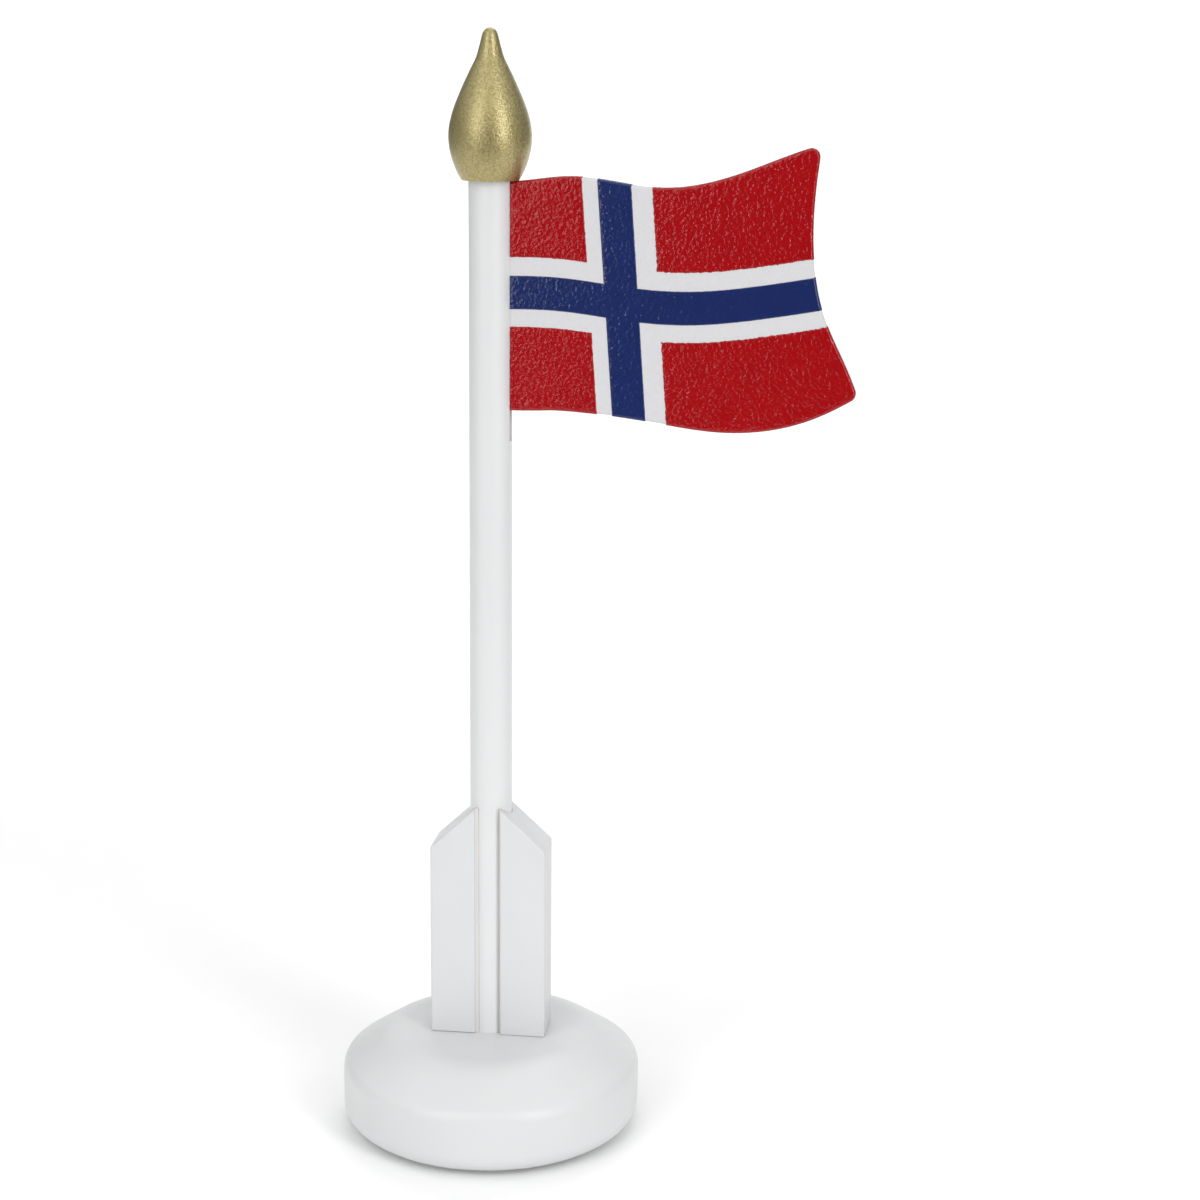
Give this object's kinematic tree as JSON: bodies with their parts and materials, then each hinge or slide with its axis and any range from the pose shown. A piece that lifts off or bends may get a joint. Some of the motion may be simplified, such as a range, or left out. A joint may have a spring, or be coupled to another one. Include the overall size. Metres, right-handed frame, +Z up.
{
  "type": "desk flag stand",
  "caption": "Small painted wooden table flag: a waving flag board on a round pole with bevelled cheeks, a domed round foot and a gold drop finial.",
  "frame": {"origin": "middle of the felt pad's underside, on the pole's axis, where the stand meets the desk", "axes": "+Z up along the pole, +X from the pole towards the flag's free end, +Y away from the flag's front face"},
  "size_m": [0.0995, 0.06, 0.2175],
  "materials": {
    "white_painted_wood": "satin white paint over sanded wood",
    "white_undercoat": "matt white undercoat on a thin wooden board",
    "gold_painted_wood": "fine metallic gold paint over turned wood",
    "red_paint": "dry lacquer coat with an orange-peel surface",
    "blue_paint": "dry lacquer coat, a little smoother than the red",
    "felt": "thin pressed white felt"
  },
  "bodies": {
    "root": {"base_disc": "white_painted_wood", "felt_pad": "felt", "pole": "white_painted_wood", "left_cheek": "white_painted_wood", "right_cheek": "white_painted_wood", "flag_board": "white_undercoat", "finial": "gold_painted_wood", "red_upper_hoist": "red_paint", "red_lower_hoist": "red_paint", "red_upper_fly": "red_paint", "red_lower_fly": "red_paint", "blue_cross": "blue_paint"}
  },
  "joints": []
}
